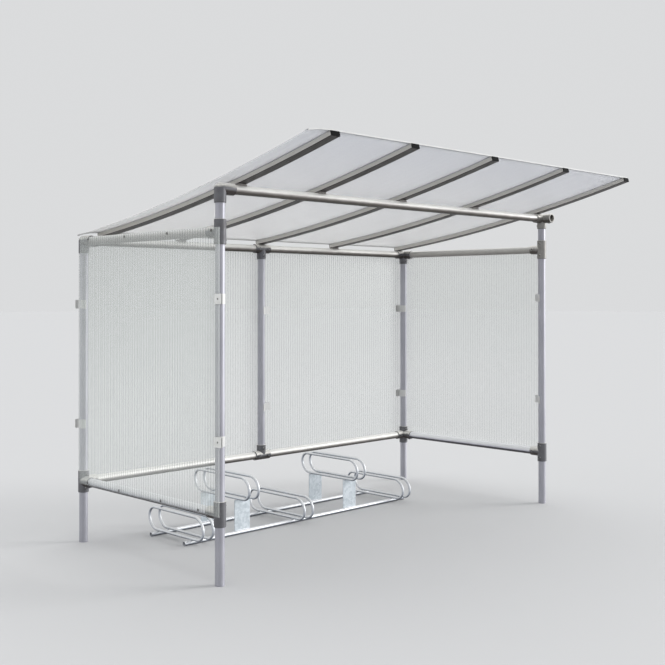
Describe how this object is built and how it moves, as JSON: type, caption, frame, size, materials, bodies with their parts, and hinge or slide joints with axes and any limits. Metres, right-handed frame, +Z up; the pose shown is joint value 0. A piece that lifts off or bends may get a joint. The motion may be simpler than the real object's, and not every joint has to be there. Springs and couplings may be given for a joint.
{
  "type": "bike shelter",
  "caption": "Open-fronted bicycle shelter of round tube and cast fittings with clear walls, a curved overhanging roof and a wheel rack on the ground.",
  "frame": {"origin": "on the ground under the middle of the shelter's overall box", "axes": "+X along the open front to the right as seen from the front, +Y from the front to the back wall, +Z up"},
  "size_m": [2.9856, 2.0366, 2.25],
  "materials": {
    "frame_tube": "satin, drawn tube",
    "cast_fitting": "matt, cast",
    "rafter_metal": "satin, extruded",
    "roof_sheet": "clear ribbed twin-wall sheet, 6 mm",
    "wall_sheet": "clear ribbed twin-wall sheet",
    "trim_metal": "mill",
    "white_clip": "smooth",
    "black_plastic": "matt",
    "galvanised_steel": "hot-dip galvanised"
  },
  "bodies": {
    "root": {"front_left_post": "frame_tube", "front_right_post": "frame_tube", "back_left_post": "frame_tube", "back_right_post": "frame_tube", "back_middle_post": "frame_tube", "front_beam": "frame_tube", "back_top_rail": "frame_tube", "back_bottom_rail": "frame_tube", "left_top_rail": "frame_tube", "left_bottom_rail": "frame_tube", "right_top_rail": "frame_tube", "right_bottom_rail": "frame_tube", "front_left_elbow": "cast_fitting", "front_right_corner": "cast_fitting", "back_left_corner": "cast_fitting", "back_right_corner": "cast_fitting", "front_left_upper_tee": "cast_fitting", "front_left_lower_tee": "cast_fitting", "front_right_upper_tee": "cast_fitting", "front_right_lower_tee": "cast_fitting", "back_left_lower_tee": "cast_fitting", "back_right_lower_tee": "cast_fitting", "back_middle_upper_tee": "cast_fitting", "back_middle_lower_tee": "cast_fitting", "rafter_1": "rafter_metal", "rafter_2": "rafter_metal", "rafter_3": "rafter_metal", "rafter_4": "rafter_metal", "rafter_5": "rafter_metal", "roof_sheet_1": "roof_sheet", "roof_sheet_2": "roof_sheet", "roof_sheet_3": "roof_sheet", "roof_sheet_4": "roof_sheet", "left_wall_panel": "wall_sheet", "right_wall_panel": "wall_sheet", "back_left_wall_panel": "wall_sheet", "back_right_wall_panel": "wall_sheet", "wheel_holder_1": "galvanised_steel", "wheel_holder_2": "galvanised_steel", "wheel_holder_3": "galvanised_steel", "wheel_holder_4": "galvanised_steel", "wheel_holder_5": "galvanised_steel", "rack_base_tubes": "galvanised_steel", "rack_support_plates": "galvanised_steel", "rafter_end_caps": "black_plastic", "rafter_saddles": "black_plastic", "roof_front_trim": "trim_metal", "roof_back_trim": "trim_metal", "roof_capping_strips": "trim_metal", "panel_clips": "white_clip", "clip_straps": "trim_metal"}
  },
  "joints": []
}
